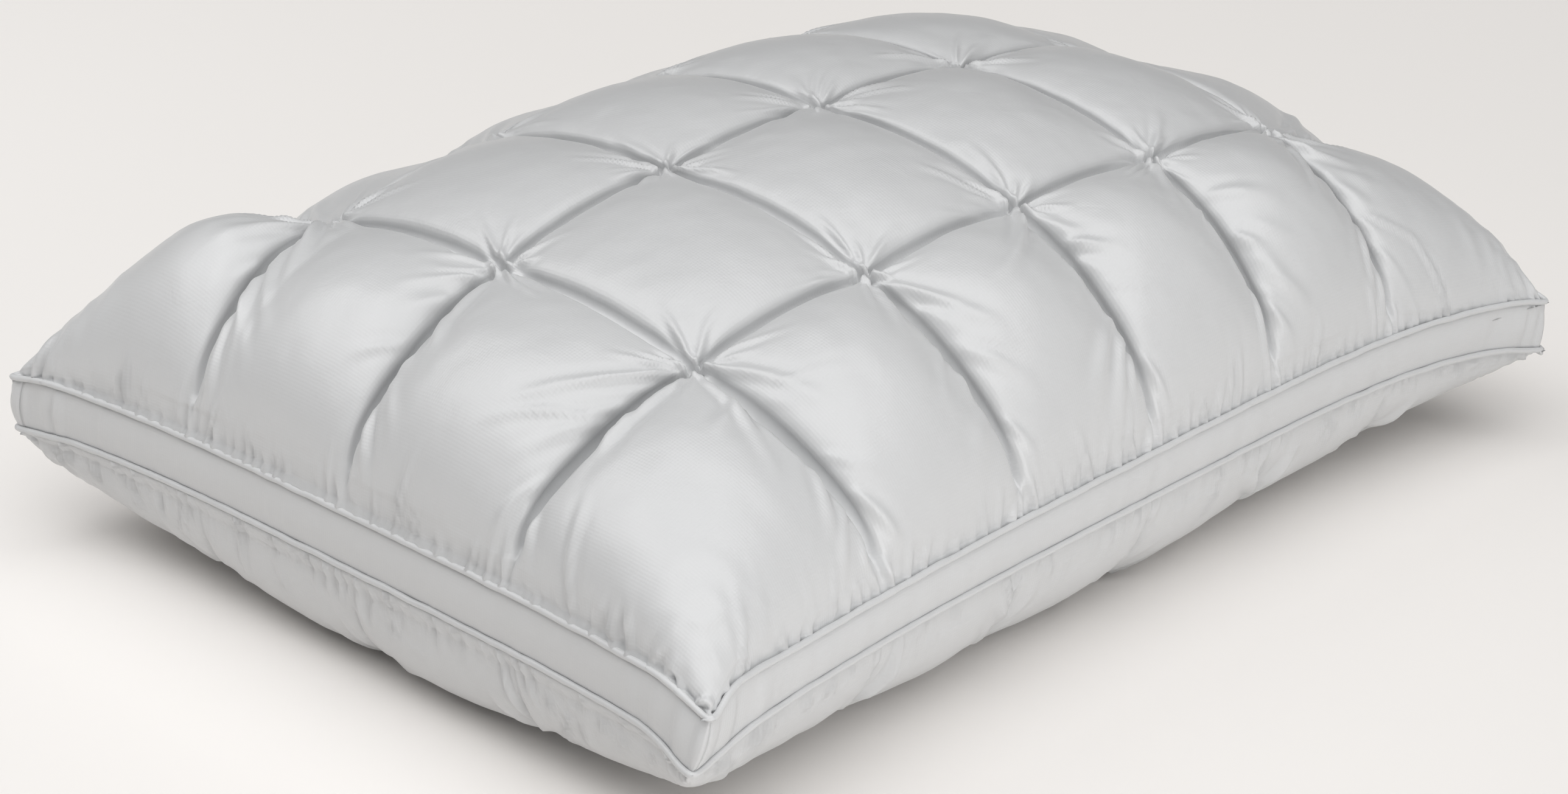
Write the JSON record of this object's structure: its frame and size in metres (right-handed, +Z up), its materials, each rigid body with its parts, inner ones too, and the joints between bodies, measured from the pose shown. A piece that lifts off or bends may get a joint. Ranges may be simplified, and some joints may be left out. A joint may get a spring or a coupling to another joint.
{
  "type": "bed pillow",
  "caption": "Rectangular bed pillow with quilted, tacked cover panels, a corded gusset and soft fibre filling.",
  "frame": {"origin": "centre of the footprint at the level of the bed under the pillow", "axes": "+X along the long side, +Y along the short side, +Z up out of the bed"},
  "size_m": [0.654, 0.4946, 0.2137],
  "materials": {
    "sateen": "white cotton sateen with a soft sheen",
    "gusset": "white cotton sateen with a soft sheen",
    "piping": "white sateen bias strip folded round a cord",
    "cord": "matt twisted cotton",
    "fibre": "matt polyester fibre",
    "backing": "matt non-woven cloth",
    "ticking": "matt cotton ticking",
    "thread": "white sewing thread"
  },
  "bodies": {
    "root": {"top_panel": "sateen", "top_fibre_layer": "fibre", "top_backing_cloth": "backing", "top_piping_cord": "cord", "top_piping_cover": "piping", "top_tack_1_1": "thread", "top_tack_1_2": "thread", "top_tack_1_3": "thread", "top_tack_1_4": "thread", "top_tack_1_5": "thread", "top_tack_2_1": "thread", "top_tack_2_2": "thread", "top_tack_2_3": "thread", "top_tack_2_4": "thread", "top_tack_2_5": "thread", "top_tack_3_1": "thread", "top_tack_3_2": "thread", "top_tack_3_3": "thread", "top_tack_3_4": "thread", "top_tack_3_5": "thread", "bottom_panel": "sateen", "bottom_fibre_layer": "fibre", "bottom_backing_cloth": "backing", "bottom_piping_cord": "cord", "bottom_piping_cover": "piping", "bottom_tack_1_1": "thread", "bottom_tack_1_2": "thread", "bottom_tack_1_3": "thread", "bottom_tack_1_4": "thread", "bottom_tack_1_5": "thread", "bottom_tack_2_1": "thread", "bottom_tack_2_2": "thread", "bottom_tack_2_3": "thread", "bottom_tack_2_4": "thread", "bottom_tack_2_5": "thread", "bottom_tack_3_1": "thread", "bottom_tack_3_2": "thread", "bottom_tack_3_3": "thread", "bottom_tack_3_4": "thread", "bottom_tack_3_5": "thread", "gusset_front": "gusset", "gusset_right": "gusset", "gusset_back": "gusset", "gusset_left": "gusset", "inner_casing_top": "ticking", "inner_casing_bottom": "ticking", "core_fill": "fibre"}
  },
  "joints": []
}
